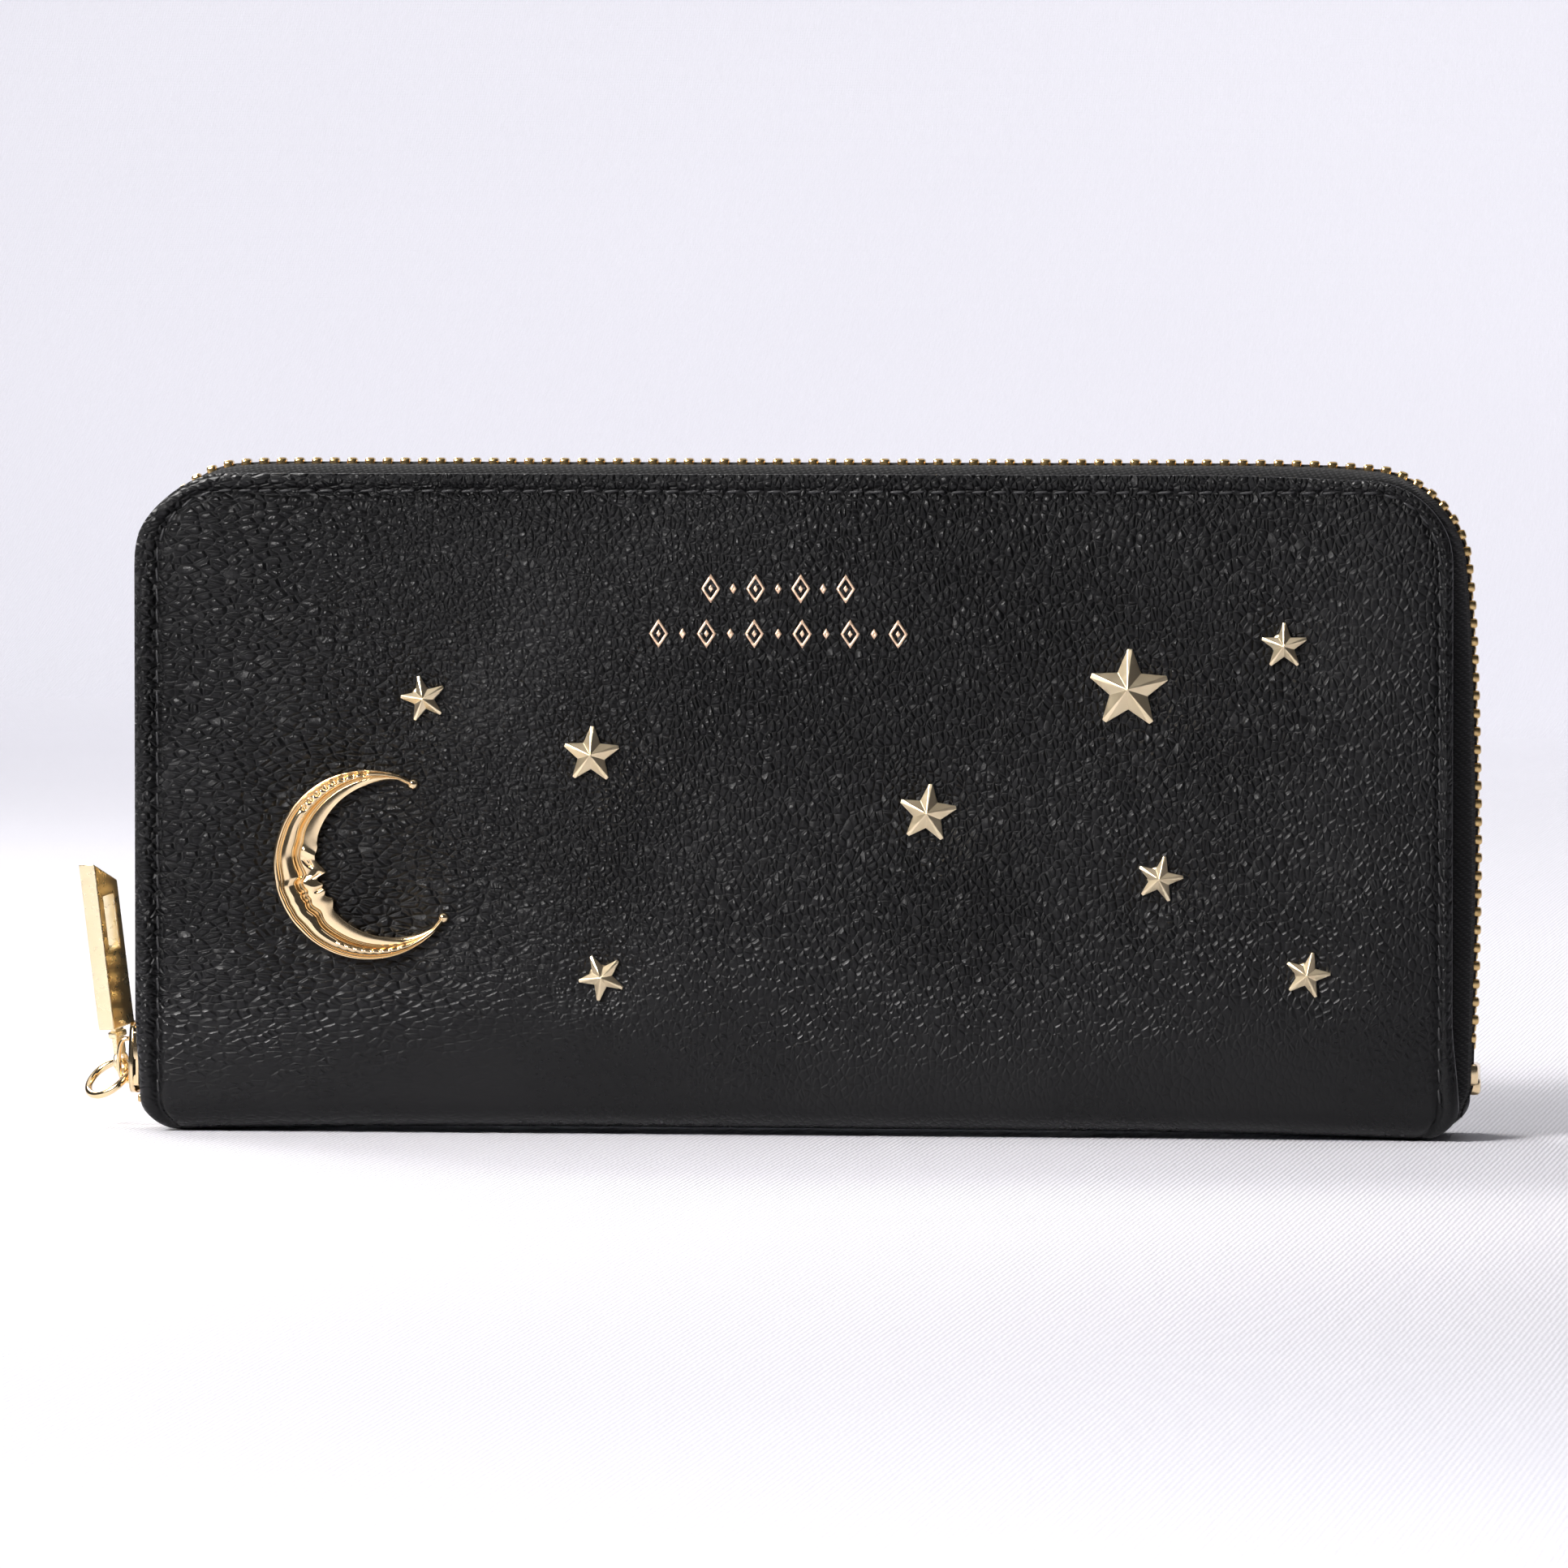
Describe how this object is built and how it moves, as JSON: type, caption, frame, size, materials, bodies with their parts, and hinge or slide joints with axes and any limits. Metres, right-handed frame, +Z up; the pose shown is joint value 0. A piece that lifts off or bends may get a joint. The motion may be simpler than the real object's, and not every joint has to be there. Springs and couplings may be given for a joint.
{
  "type": "zip around wallet",
  "caption": "Padded long wallet with a zip round three sides, star studs and a crescent on the front, a metal puller, card slots and a zipped coin pocket inside.",
  "frame": {"origin": "middle of the flat underside of the spine, on the surface the wallet stands on", "axes": "+X along the spine (to the right seen from the studded front), -Y out of the studded front, +Z up towards the long run of the zip"},
  "size_m": [0.2046, 0.0278, 0.0979],
  "materials": {
    "leather": "pebbled grain, coated, satin, near black",
    "foam": "thin padding foam",
    "board": "pressed fibre board",
    "lining": "fine woven polyester, black",
    "card_leather": "thin smooth coated sheet, black",
    "zip_tape": "herringbone woven polyester, black",
    "zip_metal": "polished pale gold teeth",
    "slider_metal": "polished pale gold plating",
    "puller_metal": "satin champagne gold plating",
    "nylon_coil": "black nylon",
    "thread": "black waxed thread",
    "star_metal": "satin champagne gold plating",
    "moon_metal": "polished gold plating",
    "shank_metal": "plain steel",
    "foil": "hot-stamped rose gold foil"
  },
  "bodies": {
    "spine": {"spine_leather": "leather", "spine_board": "board", "spine_lining": "lining", "zip_tape_tails_left": "zip_tape", "zip_tape_tails_right": "zip_tape", "zip_end_teeth_left": "zip_metal", "zip_end_teeth_right": "zip_metal", "zip_top_stops": "zip_metal", "zip_bottom_stop": "zip_metal", "coin_pocket_front_wall": "lining", "coin_pocket_back_wall": "lining", "coin_zip_tape_front": "zip_tape", "coin_zip_tape_back": "zip_tape", "coin_zip_coil_front": "nylon_coil", "coin_zip_coil_back": "nylon_coil", "gusset_front_left": "lining", "gusset_front_right": "lining", "gusset_back_left": "lining", "gusset_back_right": "lining"},
    "front_cover": {"front_leather": "leather", "front_foam": "foam", "front_board": "board", "front_lining": "lining", "front_card_slot_1": "card_leather", "front_card_slot_2": "card_leather", "front_card_slot_3": "card_leather", "zip_tape_front": "zip_tape", "zip_teeth_front": "zip_metal", "front_stitching": "thread", "large_star": "star_metal", "medium_stars": "star_metal", "small_stars": "star_metal", "stud_shanks": "shank_metal", "crescent_moon": "moon_metal", "foil_ornament": "foil"},
    "back_cover": {"back_leather": "leather", "back_foam": "foam", "back_board": "board", "back_lining": "lining", "back_card_slot_1": "card_leather", "back_card_slot_2": "card_leather", "back_card_slot_3": "card_leather", "zip_tape_back": "zip_tape", "zip_teeth_back": "zip_metal", "back_stitching": "thread"},
    "slider": {"slider_body": "slider_metal", "slider_bail": "slider_metal"},
    "pull_ring": {"pull_ring": "slider_metal"},
    "puller": {"pull_bar": "puller_metal"},
    "coin_slider": {"coin_slider": "slider_metal"},
    "coin_puller": {"coin_puller": "slider_metal"}
  },
  "joints": [
    {"name": "front_cover_fold", "type": "hinge", "parent": "spine", "child": "front_cover", "pos_m": [0, -0.0125, 0.007], "axis": [1, 0, 0], "range_deg": [0, 30], "deforming": ["gusset_front_left", "gusset_front_right"]},
    {"name": "back_cover_fold", "type": "hinge", "parent": "spine", "child": "back_cover", "pos_m": [0, 0.0125, 0.007], "axis": [-1, 0, 0], "range_deg": [0, 30], "deforming": ["gusset_back_left", "gusset_back_right"]},
    {"name": "zip_slide", "type": "slide", "parent": "spine", "child": "slider", "axis": [0, 0, 1], "range_m": [0, 0.066], "deforming": ["zip_teeth_front", "zip_teeth_back", "zip_end_teeth_left"]},
    {"name": "ring_swing", "type": "hinge", "parent": "slider", "child": "pull_ring", "pos_m": [-0.0998, 0, 0.0081], "axis": [0, 0.8, 0.6], "range_deg": [-20, 5]},
    {"name": "puller_swing", "type": "hinge", "parent": "pull_ring", "child": "puller", "pos_m": [-0.10133, 0.0028, 0.00928], "axis": [-0.7799, 0.6259, 0], "range_deg": [-85, 6]},
    {"name": "coin_zip_slide", "type": "slide", "parent": "spine", "child": "coin_slider", "axis": [1, 0, 0], "range_m": [0, 0.128], "deforming": ["coin_zip_coil_front", "coin_zip_coil_back"]},
    {"name": "coin_puller_flip", "type": "hinge", "parent": "coin_slider", "child": "coin_puller", "pos_m": [-0.0675, 0, 0.0827], "axis": [0, -1, 0], "range_deg": [0, 170]}
  ]
}
